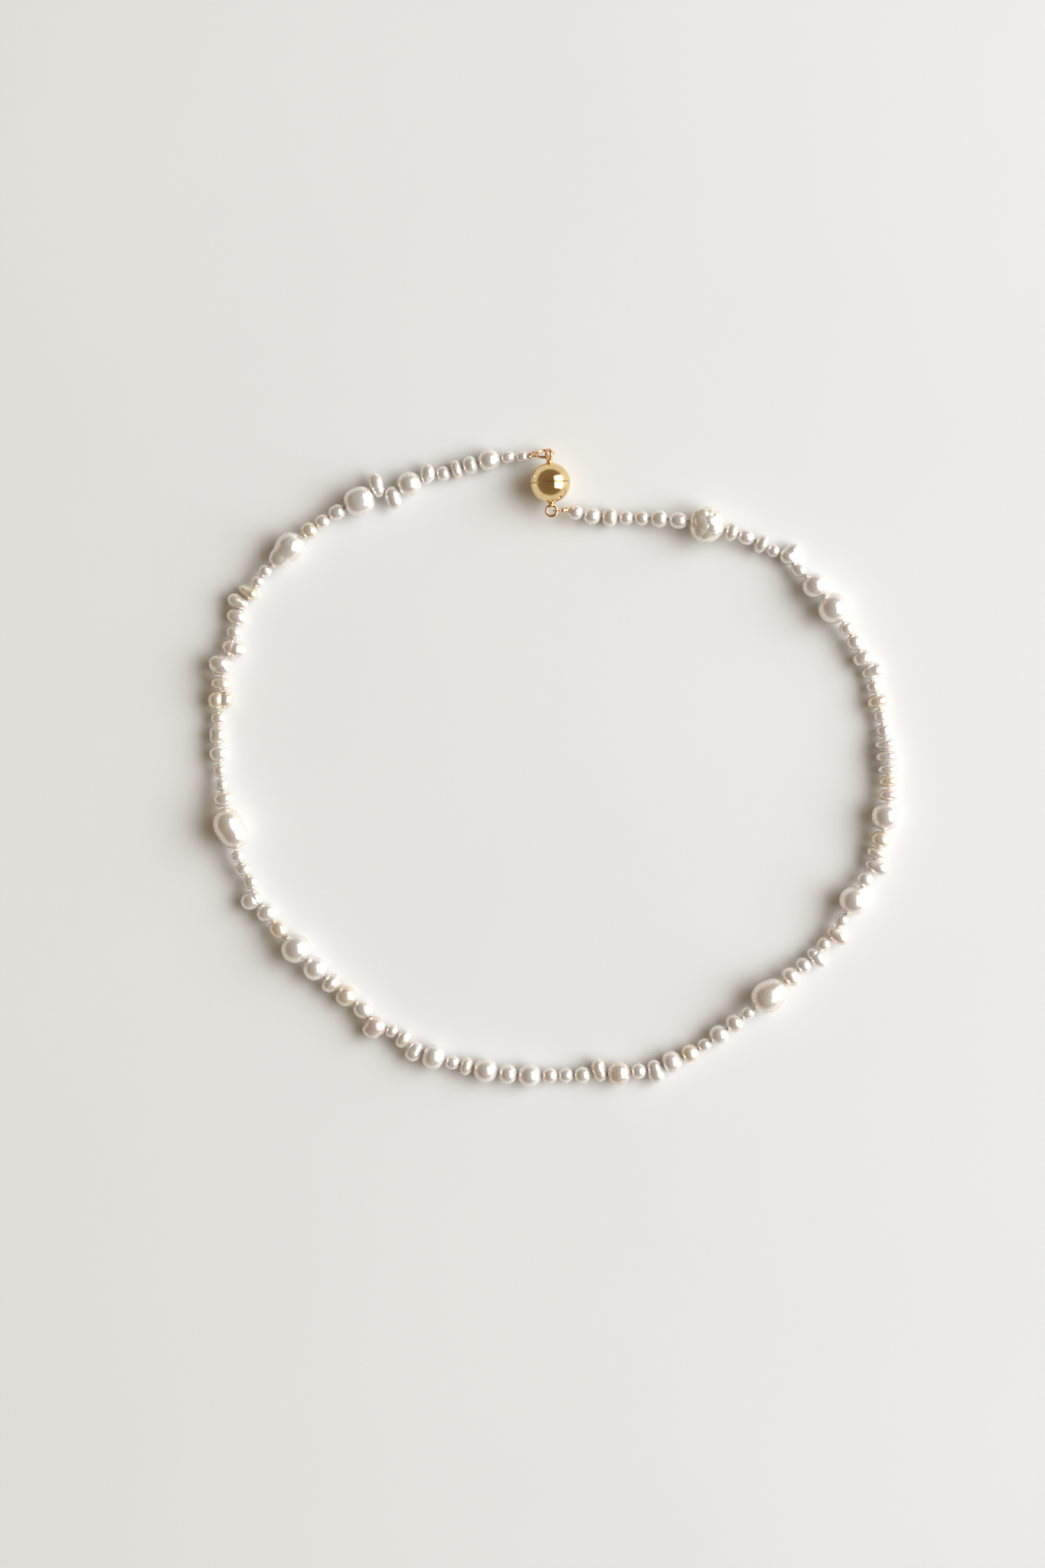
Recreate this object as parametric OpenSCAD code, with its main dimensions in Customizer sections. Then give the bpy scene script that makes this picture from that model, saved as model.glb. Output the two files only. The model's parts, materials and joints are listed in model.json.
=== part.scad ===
// Freshwater pearl necklace, a choker of graduated and baroque pearls on one thread,
// closed by a magnetic ball clasp. It lies flat and closed, as a loop on a table.
// +X is the wearer's width, +Y points from the front of the loop to the clasp, +Z is up.

/* [Strand] */
// Diameter of the stringing thread
thread_d = 0.4; // [0.3:0.05:0.45]
// Diameter of the hole drilled through each pearl
bore_d = 0.7; // [0.7:0.05:0.8]
// Extra room beside a pearl where the strand bends
bend_room = 0.1; // [0.05:0.05:0.15]
// Slope at which the strand comes down from a large pearl to the table
strand_slope = 0.14; // [0.1:0.02:0.2]
// Slope at which the two ends come down from the clasp
end_slope = 0.3; // [0.2:0.05:0.4]

/* [Ball clasp] */
// Diameter of the closed ball
ball_d = 8; // [7.6:0.1:8]
// Gap between the two halves
parting_gap = 0.16; // [0.15:0.01:0.2]
// Bevel round the rim of each half
rim_bevel = 0.2; // [0.1:0.05:0.3]
// Turn of the ball's axis away from +Y
clasp_turn = 3; // [0:1:4]
// Diameter of each magnet
magnet_d = 5; // [4:0.5:5]
// Thickness of each magnet
magnet_h = 2; // [1.5:0.25:2]
// How far each magnet's face is set back
magnet_recess = 0.1; // [0.05:0.05:0.2]

/* [Rings and wire] */
// Diameter of each fixed eye, measured along the middle of its wire
eye_d = 2.1; // [2:0.05:2.2]
// Thickness of the fixed eyes' wire
eye_wire = 0.6; // [0.5:0.05:0.6]
// Diameter of the jump ring, measured along the middle of its wire
jump_ring_d = 3.4; // [3.3:0.05:3.5]
// Thickness of the jump ring's wire
jump_ring_wire = 0.56; // [0.5:0.02:0.56]
// Thickness of the wire loops at the strand's ends
loop_wire = 0.26; // [0.2:0.02:0.28]
// Outer diameter of the crimp beads
crimp_d = 1.1; // [1:0.05:1.2]

/* [Hidden] */
$fn = 48;
white = [0.95, 0.93, 0.89];
ivory = [0.93, 0.89, 0.79];
cream = [0.91, 0.84, 0.68];
peach = [0.90, 0.79, 0.67];
rose = [0.90, 0.82, 0.80];
gold = [0.83, 0.66, 0.30];
steel = [0.74, 0.75, 0.77];
thread_colour = [0.84, 0.77, 0.64];

// Where the ball's middle stands, with the ball resting on the table
clasp_at = [-0.9, 55.9, ball_d / 2];

// Pearls in stringing order, clockwise from the clasp's lower half.
// Each row is shape, length along the thread, width across it, shift to the outside
// of the loop, colour, and the node's name where the pearl has a node of its own.
// The strand is cut into lengths that bend against each other.
strand = [
    ["right_11", [
        ["oval", 2.9, 2.9, 0, white],
        ["oval", 3.5, 3.3, 0, white],
        ["oval", 3.2, 3.8, 0, cream]]],
    ["right_10", [
        ["oval", 2.9, 2.9, 0, white],
        ["oval", 3.0, 2.9, 0, white],
        ["oval", 3.5, 3.5, 0, ivory],
        ["oval", 3.8, 3.3, 0, white]]],
    ["right_09", [
        ["baroque", 7.0, 6.8, 0.2, ivory, "crinkled_coin_pearl"],
        ["oval", 2.7, 3.8, 0, ivory],
        ["oval", 3.5, 3.0, 0, white],
        ["oval", 2.6, 3.9, 0, white],
        ["oval", 2.7, 2.6, 0, rose]]],
    ["right_08", [
        ["twin", 2.9, 4.8, 1.4, white, "two_lobed_pearl"],
        ["oval", 3.4, 2.6, 0, white],
        ["round", 5.1, 5.1, 0, white, "round_pearl_1"],
        ["round", 6.2, 6.2, 0, white, "round_pearl_2"]]],
    ["right_07", [
        ["oval", 2.8, 3.0, 0, ivory],
        ["oval", 3.3, 3.1, 0, white],
        ["oval", 3.3, 3.9, 0, white],
        ["cross", 2.8, 4.5, 0.9, white],
        ["oval", 2.7, 2.9, 0, white]]],
    ["right_06", [
        ["oval", 2.8, 4.2, 0, ivory],
        ["oval", 2.9, 2.8, 0, white],
        ["oval", 2.7, 2.9, 0, white],
        ["oval", 2.3, 4.3, 0, white],
        ["oval", 2.4, 4.5, 0, white],
        ["oval", 2.3, 4.1, 0, white],
        ["oval", 2.4, 3.8, 0, cream]]],
    ["right_05", [
        ["oval", 2.5, 3.8, 0, ivory],
        ["round", 5.7, 5.7, 0, white, "round_pearl_3"],
        ["oval", 3.2, 3.9, 0, cream],
        ["oval", 2.2, 3.8, 0, ivory],
        ["cross", 2.6, 4.7, 1.1, rose]]],
    ["right_04", [
        ["oval", 3.3, 3.2, 0, white],
        ["round", 5.9, 5.9, 0, white, "round_pearl_4"],
        ["oval", 2.9, 2.5, 0, white],
        ["cross", 2.6, 4.7, 1.1, white]]],
    ["right_03", [
        ["oval", 2.9, 2.7, 0, ivory],
        ["cross", 2.6, 4.7, 0.8, white],
        ["oval", 3.0, 3.3, 0, white],
        ["oval", 3.3, 4.1, 0, ivory],
        ["potato", 7.7, 6.4, 0, ivory, "potato_pearl"]]],
    ["right_02", [
        ["oval", 2.8, 2.6, 0, white],
        ["oval", 3.5, 3.8, 0, ivory],
        ["oval", 3.9, 4.0, 0, white],
        ["oval", 2.8, 2.6, 0, white],
        ["oval", 3.5, 3.6, 0, cream]]],
    ["right_01", [
        ["oval", 3.9, 4.3, 0, white],
        ["cross", 3.1, 4.8, 0.8, white],
        ["oval", 3.1, 3.1, 0, white],
        ["potato", 4.5, 4.7, 0, peach, "ridged_pearl"],
        ["cross", 2.9, 4.6, -0.9, ivory]]],
    ["front", [
        ["oval", 3.3, 3.3, 0, white],
        ["oval", 3.0, 3.0, 0, white],
        ["oval", 3.1, 3.2, 0, rose],
        ["round", 4.6, 4.6, 0, white, "round_pearl_5"],
        ["oval", 3.7, 3.9, 0, white]]],
    ["left_01", [
        ["round", 4.8, 4.8, 0, white, "round_pearl_6"],
        ["oval", 2.5, 3.7, 0, peach],
        ["oval", 3.0, 2.8, 0, white],
        ["oval", 4.5, 5.0, 0.2, white, "button_pearl"],
        ["cross", 2.9, 4.1, 0.9, white]]],
    ["left_02", [
        ["oval", 2.8, 3.8, 0, ivory],
        ["oval", 2.5, 2.7, 0, white],
        ["twin", 3.6, 4.8, 1.4, peach],
        ["oval", 4.0, 3.5, 0, white],
        ["oval", 4.1, 4.2, 0, cream]]],
    ["left_03", [
        ["oval", 3.4, 4.2, 0, peach],
        ["round", 4.8, 4.8, 0, white, "round_pearl_7"],
        ["round", 5.9, 5.9, 0, white, "round_pearl_8"],
        ["oval", 4.0, 3.4, 0, cream]]],
    ["left_04", [
        ["oval", 3.7, 4.0, 0, white],
        ["cross", 3.2, 4.5, 1.2, white],
        ["oval", 3.0, 2.9, -0.3, white],
        ["oval", 2.6, 3.1, 0, ivory],
        ["oval", 2.4, 2.7, 0, white]]],
    ["left_05", [
        ["drop", 8.6, 6.5, 0, peach, "pear_drop_pearl"],
        ["oval", 3.0, 4.1, 0, ivory],
        ["oval", 2.6, 2.7, 0, white],
        ["oval", 2.7, 2.7, 0, rose]]],
    ["left_06", [
        ["oval", 3.4, 3.7, 0, white],
        ["oval", 3.7, 3.4, 0, ivory],
        ["oval", 2.8, 3.0, 0, ivory],
        ["twin", 3.9, 5.2, -0.3, cream, "twin_pearl"],
        ["oval", 2.6, 4.1, 0, peach]]],
    ["left_07", [
        ["baroque", 4.0, 5.3, 0.8, ivory, "crinkled_pearl"],
        ["twin", 3.2, 5.0, -1.1, rose],
        ["oval", 2.6, 3.0, 0, white],
        ["oval", 3.1, 3.2, 0, ivory],
        ["cross", 2.5, 4.4, 1.5, ivory],
        ["oval", 2.4, 4.1, 0.3, cream]]],
    ["left_08", [
        ["oval", 2.4, 2.6, 0, white],
        ["oval", 2.5, 2.6, 0, white],
        ["drop", 8.5, 5.7, 0, white, "long_drop_pearl"]]],
    ["left_09", [
        ["oval", 3.2, 3.4, 0, cream],
        ["oval", 3.0, 2.8, 0, ivory],
        ["oval", 3.5, 3.1, 0, white],
        ["barrel", 6.1, 5.7, 0, white, "barrel_pearl"],
        ["cross", 2.2, 5.0, 1.7, white, "crosswise_pearl_pair"],
        ["cross", 2.2, 4.6, -1.7, white, "crosswise_pearl_pair"]]],
    ["left_10", [
        ["round", 4.9, 4.9, 0, white, "round_pearl_9"],
        ["cross", 2.9, 3.9, 0.9, white],
        ["oval", 2.8, 3.0, 0, white]]],
    ["left_11", [
        ["oval", 2.2, 3.9, 0, white],
        ["oval", 3.1, 3.7, 0, white],
        ["round", 4.4, 4.4, 0, white, "round_pearl_10"],
        ["oval", 2.9, 2.6, 0, white],
        ["oval", 2.4, 2.2, 0, white]]]];

// The strand's course from above, between its two ends at the clasp
course = [
    [7, 49.4], [15.5, 49.1], [22, 48.8], [28, 48], [34, 46.5], [39.5, 44.7], [45, 41.5],
    [49.5, 37.7], [53.5, 33.5], [57, 28.5], [60.2, 23], [62.6, 17.5], [64.2, 12], [65.4, 5.5],
    [66, -0.5], [66, -6.5], [65.1, -12.5], [63.2, -18.5], [60.7, -24], [57.8, -29], [54.3, -34],
    [50.3, -38.5], [41.1, -46.5], [31.5, -54], [26.3, -57.2], [20.7, -59.5], [15, -60.7],
    [8.7, -61.1], [-3.4, -61.3], [-9.5, -61], [-15.6, -59.9], [-21.5, -58.3], [-27, -56],
    [-37, -49], [-46.3, -41.2], [-54.6, -32.4], [-58.2, -27.3], [-61, -22], [-63.2, -16.5],
    [-64.6, -10.5], [-65.8, -4.5], [-66.5, 1.5], [-66.7, 7.5], [-66.3, 13.5], [-65.5, 19.5],
    [-63.8, 25.5], [-61.7, 31.2], [-58.8, 36.5], [-55, 41.2], [-50.4, 45.2], [-45.3, 48.8],
    [-40.2, 51.8], [-34.5, 54], [-28.7, 55.8], [-23, 57.6], [-17.2, 59.4], [-11, 61]];

// Shapes and clearances
profile_steps = 12;
samples = 6;
thread_sides = 8;
running_gap = 0.02;
crimp_room = 0.16;
jump_ring_lean = 63;
upper_eye_turn = 27;
stem_d = eye_wire + 0.16;
stem_in = 1;
eye_out = ball_d / 2 + 0.5 + eye_d / 2;
loop_d = 1.1;
right_loop_d = 1.4;

// Everything on the clasp is placed from the ball's middle, with +Y along its axis
function on_clasp(p) = clasp_at + [
    p.x * cos(clasp_turn) - p.y * sin(clasp_turn),
    p.x * sin(clasp_turn) + p.y * cos(clasp_turn),
    p.z];

// Middle of the jump ring, and of the two loops that end the strand
jump_ring_at = [-0.85, eye_out + 0.35, -1.3];
left_loop_at = jump_ring_at + [-jump_ring_d / 2 - 0.09, 0, 0];
right_loop_at = [eye_d / 2 + 0.02, -eye_out, 0];

// Where the strand's thread starts and ends, outside the crimp beads
right_end = on_clasp([3.3, -5.5, -0.5]);
left_end = on_clasp([-4.0, 5.5, -1.6]);
right_loop_end = on_clasp(right_loop_at + [right_loop_d / 2 + loop_wire / 2 + 0.03, 0, 0]);
left_loop_end = on_clasp(left_loop_at - [loop_d / 2 + loop_wire / 2 + 0.03, 0, 0]);

pearls = [for (length_of = strand) for (p = length_of[1])
    concat(p, len(p) < 6 ? [str("pearls_", length_of[0])] : [])];
count = len(pearls);
last_of_length = [for (length_of = strand) for (i = [1 : len(length_of[1])])
    i == len(length_of[1]) ? 1 : 0];

// A smooth line through the course, measured along its length
function flat(p) = [p.x, p.y];
function blend_point(a, b, c, d, t) =
    (2 * b + (c - a) * t + (2 * a - 5 * b + 4 * c - d) * t * t
    + (3 * b - a - 3 * c + d) * t * t * t) / 2;
knots = concat([flat(right_end)], course, [flat(left_end)]);
line = concat([for (i = [0 : len(knots) - 2]) for (k = [0 : samples - 1])
    blend_point(knots[max(i - 1, 0)], knots[i], knots[i + 1],
        knots[min(i + 2, len(knots) - 1)], k / samples)], [flat(left_end)]);
travel = [for (i = 0, s = 0; i < len(line);
    s = s + (i < len(line) - 1 ? norm(line[i + 1] - line[i]) : 0), i = i + 1) s];
line_x = [for (i = [0 : len(line) - 1]) [travel[i], line[i].x]];
line_y = [for (i = [0 : len(line) - 1]) [travel[i], line[i].y]];
line_length = travel[len(travel) - 1];

// The room that the pearls leave is shared out between them
function sum(v) = [for (i = 0, s = 0; i < len(v); s = s + v[i], i = i + 1) s + v[i]][len(v) - 1];
lengths = [for (p = pearls) p[1]];
rooms = [for (i = [0 : count - 1]) i < count - 1 ? last_of_length[i] * bend_room : 0];
gap = (line_length - sum(lengths) - sum(rooms)) / count;
starts = [for (i = 0, s = gap / 2; i < count; s = s + lengths[i] + gap + rooms[i], i = i + 1) s];
middles = [for (i = [0 : count - 1]) starts[i] + lengths[i] / 2];

// Points half way between neighbours, where the thread shows
between = concat([0],
    [for (i = [0 : count - 2]) (starts[i] + lengths[i] + starts[i + 1]) / 2], [line_length]);

// A pearl drilled crosswise is thickest beside the thread, not at it
function thickness(p) = p[1] / sqrt(1 - pow(2 * p[3] / p[2], 2));
function rest_height(p) = (p[0] == "cross" || p[0] == "twin") ? thickness(p) / 2 : p[2] / 2;

// The larger pearls lie on the table and carry the strand over the smaller ones
function height(s) = max(concat(
    [for (i = [0 : count - 1])
        rest_height(pearls[i]) - strand_slope * max(0, abs(s - middles[i]) - lengths[i] / 2)],
    [right_end.z - end_slope * s, left_end.z - end_slope * (line_length - s)]));
stations = [for (s = between) [lookup(s, line_x), lookup(s, line_y), height(s)]];
function place(i) = stations[i] + (stations[i + 1] - stations[i])
    * (middles[i] - between[i]) / (between[i + 1] - between[i]);
function heading(i) = stations[i + 1] - stations[i];

module along(direction) {
    rotate([0, -atan2(direction.z, norm(flat(direction))), atan2(direction.y, direction.x)])
        children();
}

module drill() {
    rotate([0, 90, 0]) cylinder(d = bore_d, h = 20, center = true);
}

// A turned solid along +X, with its fat end at +X by the given share
module turned(long, wide, fat = 0, fullness = 2) {
    profile = [for (i = [0 : profile_steps])
        let (a = 180 * i / profile_steps, x = -cos(a))
        [wide / 2 * pow(sin(a), 2 / fullness) * (1 + fat * (x - x * x)), long / 2 * x]];
    rotate([0, 90, 0]) rotate_extrude() polygon([for (p = profile) [max(p.x, 0), p.y]]);
}

module round_pearl(p) {
    rotate([0, 90, 0]) sphere(d = p[1]);
}

module oval_pearl(p) {
    translate([0, p[3], 0]) turned(p[1], p[2], 0, 2.2);
}

module cross_pearl(p) {
    translate([0, p[3], 0]) rotate([0, 0, 90]) turned(p[2], thickness(p), 0, 2.1);
}

module twin_pearl_body(p) {
    lobe = thickness(p);
    apart = (p[2] - lobe) / 2;
    translate([0, p[3], 0]) {
        translate([0, apart, 0]) sphere(d = lobe);
        translate([0, -apart * 0.95, 0]) sphere(d = lobe * 0.95);
        rotate([0, 0, 90]) rotate([0, 90, 0]) cylinder(d = lobe * 0.8, h = apart, center = true);
    }
}

module drop_pearl(p) {
    turned(p[1], p[2] * 0.98, 0.28, 2.1);
}

module barrel_body(p) {
    turned(p[1], p[2], 0, 2.9);
}

module potato_body(p) {
    turned(p[1], p[2] * 0.98, 0.08, 2.4);
}

// A coin-like pearl with swellings on its faces
module baroque_body(p) {
    core = p[2] * 0.36;
    translate([0, p[3], 0]) {
        turned(p[1], p[2] * 0.9, -0.06, 2.3);
        for (side = [-1, 1])
            translate([side * p[1] * 0.1, side * p[2] * 0.17, p[2] * 0.08])
                sphere(r = min(core, p[1] * 0.36));
    }
}

module pearl(p) {
    color(p[4]) difference() {
        if (p[0] == "round") round_pearl(p);
        else if (p[0] == "cross") cross_pearl(p);
        else if (p[0] == "twin") twin_pearl_body(p);
        else if (p[0] == "drop") drop_pearl(p);
        else if (p[0] == "barrel") barrel_body(p);
        else if (p[0] == "potato") potato_body(p);
        else if (p[0] == "baroque") baroque_body(p);
        else oval_pearl(p);
        drill();
    }
}

module pearls_of(name) {
    for (i = [0 : count - 1])
        if (pearls[i][5] == name)
            translate(place(i)) along(heading(i)) pearl(pearls[i]);
}

// The thread runs from one crimp bead to the other through every pearl
thread_path = concat([(right_end + right_loop_end) / 2], stations, [(left_end + left_loop_end) / 2]);

function unit(v) = v / norm(v);
function thread_ring(i) = let (
    last = len(thread_path) - 1,
    t = unit(thread_path[min(i + 1, last)] - thread_path[max(i - 1, 0)]),
    side = unit(cross([0, 0, 1], t)),
    up = cross(t, side))
    [for (k = [0 : thread_sides - 1]) thread_path[i]
        + thread_d / 2 * (cos(360 * k / thread_sides) * side + sin(360 * k / thread_sides) * up)];

module stringing_thread() {
    rings = len(thread_path);
    n = thread_sides;
    color(thread_colour) polyhedron(
        points = [for (i = [0 : rings - 1]) each thread_ring(i)],
        faces = concat(
            [[for (k = [0 : n - 1]) k]],
            [for (i = [0 : rings - 2]) for (k = [0 : n - 1])
                [i * n + k, i * n + n + k, i * n + n + (k + 1) % n, i * n + (k + 1) % n]],
            [[for (k = [n - 1 : -1 : 0]) (rings - 1) * n + k]]));
}

module in_clasp_frame() {
    translate(clasp_at) rotate([0, 0, clasp_turn]) children();
}

module ring(diameter, wire) {
    rotate_extrude() translate([diameter / 2, 0]) circle(d = wire);
}

// Half of the ball, standing on its flat face, with a pocket for the magnet
module half_ball() {
    pocket = magnet_h + magnet_recess + running_gap;
    face = ball_d / 2 - rim_bevel;
    difference() {
        intersection() {
            sphere(d = ball_d);
            translate([0, 0, parting_gap / 2]) cylinder(h = ball_d, r1 = face, r2 = face + ball_d);
        }
        translate([0, 0, parting_gap / 2 - 1]) cylinder(d = magnet_d + 2 * running_gap, h = pocket + 1);
        translate([0, 0, ball_d / 2 - stem_in]) cylinder(d = stem_d + 2 * running_gap, h = ball_d);
    }
}

module magnet() {
    translate([0, 0, parting_gap / 2 + magnet_recess]) cylinder(d = magnet_d, h = magnet_h);
}

// A ring on a short stem that is fixed in the end of the half ball
module eye(turn) {
    stem_from = ball_d / 2 - stem_in + running_gap;
    translate([0, 0, eye_out]) rotate([0, 0, turn]) rotate([90, 0, 0]) ring(eye_d, eye_wire);
    translate([0, 0, stem_from]) cylinder(d = stem_d, h = eye_out - eye_d / 2 - stem_from);
}

module upper_side() {
    in_clasp_frame() rotate([-90, 0, 0]) children();
}

module lower_side() {
    in_clasp_frame() rotate([90, 0, 0]) children();
}

module clasp_upper_shell() {
    color(gold) upper_side() half_ball();
}

module clasp_lower_shell() {
    color(gold) lower_side() half_ball();
}

module clasp_upper_magnet() {
    color(steel) upper_side() magnet();
}

module clasp_lower_magnet() {
    color(steel) lower_side() magnet();
}

module clasp_upper_eye() {
    color(gold) upper_side() eye(90 + upper_eye_turn);
}

module clasp_lower_eye() {
    color(gold) lower_side() eye(0);
}

module jump_ring() {
    color(gold) in_clasp_frame() translate(jump_ring_at) rotate([-jump_ring_lean, 0, 0])
        ring(jump_ring_d, jump_ring_wire);
}

module left_wire_loop() {
    color(gold) in_clasp_frame() translate(left_loop_at) rotate([90 - jump_ring_lean, 0, 0])
        ring(loop_d, loop_wire);
}

module right_wire_loop() {
    color(gold) in_clasp_frame() translate(right_loop_at) rotate([90, 0, 0])
        ring(right_loop_d, loop_wire);
}

module crimp(from, to) {
    long = norm(to - from) - 2 * crimp_room;
    color(gold) translate(from) along(to - from) translate([crimp_room, 0, 0]) rotate([0, 90, 0])
        difference() {
            cylinder(d = crimp_d, h = long);
            translate([0, 0, -1]) cylinder(d = thread_d + 0.14, h = long + 2);
        }
}

module left_crimp() {
    crimp(left_loop_end, left_end);
}

module right_crimp() {
    crimp(right_loop_end, right_end);
}

FITTINGS = ["stringing_thread", "clasp_upper_shell", "clasp_lower_shell", "clasp_upper_magnet",
    "clasp_lower_magnet", "clasp_upper_eye", "clasp_lower_eye", "jump_ring", "left_wire_loop",
    "right_wire_loop", "left_crimp", "right_crimp"];
PEARL_NODES = [for (i = [0 : count - 1])
    if (len([for (k = [0 : max(i - 1, 0)]) if (k < i && pearls[k][5] == pearls[i][5]) k]) == 0)
        pearls[i][5]];

stringing_thread();
clasp_upper_shell();
clasp_lower_shell();
clasp_upper_magnet();
clasp_lower_magnet();
clasp_upper_eye();
clasp_lower_eye();
jump_ring();
left_wire_loop();
right_wire_loop();
left_crimp();
right_crimp();
for (name = PEARL_NODES)
    pearls_of(name);
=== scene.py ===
import json
import math

import bmesh
import bpy
import numpy as np
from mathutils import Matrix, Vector


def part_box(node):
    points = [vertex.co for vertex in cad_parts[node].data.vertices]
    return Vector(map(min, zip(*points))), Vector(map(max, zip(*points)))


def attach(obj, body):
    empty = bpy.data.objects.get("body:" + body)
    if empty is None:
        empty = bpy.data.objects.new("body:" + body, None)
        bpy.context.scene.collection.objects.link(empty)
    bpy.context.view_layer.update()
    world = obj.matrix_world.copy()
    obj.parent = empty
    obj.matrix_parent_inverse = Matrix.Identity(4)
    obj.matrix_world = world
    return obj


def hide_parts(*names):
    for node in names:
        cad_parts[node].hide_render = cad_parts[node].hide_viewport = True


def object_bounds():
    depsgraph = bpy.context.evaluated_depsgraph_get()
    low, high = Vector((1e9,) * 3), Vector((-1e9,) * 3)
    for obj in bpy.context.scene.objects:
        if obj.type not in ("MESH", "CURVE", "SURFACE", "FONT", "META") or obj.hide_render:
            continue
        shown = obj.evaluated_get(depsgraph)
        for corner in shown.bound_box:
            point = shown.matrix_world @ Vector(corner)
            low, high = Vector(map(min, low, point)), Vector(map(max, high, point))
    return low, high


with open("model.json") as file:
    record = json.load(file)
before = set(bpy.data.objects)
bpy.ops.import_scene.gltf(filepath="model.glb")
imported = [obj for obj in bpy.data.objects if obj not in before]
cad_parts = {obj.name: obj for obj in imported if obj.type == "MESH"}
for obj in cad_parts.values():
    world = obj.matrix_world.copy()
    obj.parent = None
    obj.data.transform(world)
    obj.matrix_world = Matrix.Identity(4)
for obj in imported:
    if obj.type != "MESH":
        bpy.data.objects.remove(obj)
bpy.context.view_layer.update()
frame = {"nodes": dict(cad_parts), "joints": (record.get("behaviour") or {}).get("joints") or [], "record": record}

# Freshwater pearl necklace: the looks of every piece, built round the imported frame.
# Shapes are worked out in millimetres, in the frame's own axes, and scaled when a mesh is made.

MM = 0.001

# ---------------------------------------------------------------- the strand, as it is strung

# Form and tone of each pearl, clockwise from the clasp's lower half, length by length
STRAND = {
    "right_11": ["oval white", "oval white", "button ivory"],
    "right_10": ["round white", "oval white", "button ivory", "oval white"],
    "right_09": ["coin ivory", "button ivory", "oval white", "button white", "round rose"],
    "right_08": ["lobed white", "bean white", "round white", "round white"],
    "right_07": ["oval ivory", "oval white", "button white", "egg white", "round white"],
    "right_06": ["button cream", "oval white", "round white", "button white", "disc white",
                 "button white", "button cream"],
    "right_05": ["button ivory", "round white", "button cream", "disc ivory", "egg rose"],
    "right_04": ["oval white", "round white", "oval white", "egg peach"],
    "right_03": ["oval ivory", "banded white", "oval white", "button ivory", "potato ivory"],
    "right_02": ["oval white", "oval ivory", "oval white", "oval white", "button cream"],
    "right_01": ["button white", "egg white", "oval white", "ridged peach", "leaning ivory"],
    "front": ["oval white", "round white", "oval rose", "round white", "oval white"],
    "left_01": ["round white", "button peach", "oval white", "button white", "egg white"],
    "left_02": ["button ivory", "oval white", "twin peach", "oval white", "button cream"],
    "left_03": ["notched peach", "round white", "round white", "oval cream"],
    "left_04": ["oval white", "banded white", "oval white", "oval ivory", "oval white"],
    "left_05": ["pear ivory", "button ivory", "round white", "oval rose"],
    "left_06": ["button white", "lumpy ivory", "oval ivory", "wide_twin cream", "disc peach"],
    "left_07": ["crinkled ivory", "grooved rose", "button white", "oval ivory", "egg ivory",
                "lobed cream"],
    "left_08": ["round white", "round white", "long_drop white"],
    "left_09": ["button cream", "oval ivory", "oval white", "barrel white", "banded white",
                "egg white"],
    "left_10": ["round white", "sided white", "oval white"],
    "left_11": ["disc white", "button white", "round white", "oval white", "button white"],
}

# What nacre of each tone looks like, as linear colour
TONES = {
    "white": (0.925, 0.906, 0.872),
    "ivory": (0.922, 0.888, 0.815),
    "cream": (0.912, 0.845, 0.712),
    "peach": (0.918, 0.852, 0.782),
    "rose": (0.922, 0.864, 0.838),
}

BALL = (0, 0, 0), (1, 1, 1)


def form(lobes, power=2.0, join=8.0, lumps=0.012, crinkle=0.0, grooves=()):
    """A pearl's form. Lobes are (middle, half sizes) in a box that runs from -1 to 1, with X along
    the thread, Y to the outside of the loop and Z up. A groove is (axis, place, width, depth)."""
    return dict(lobes=lobes, power=power, join=join, lumps=lumps, crinkle=crinkle, grooves=grooves)


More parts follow.
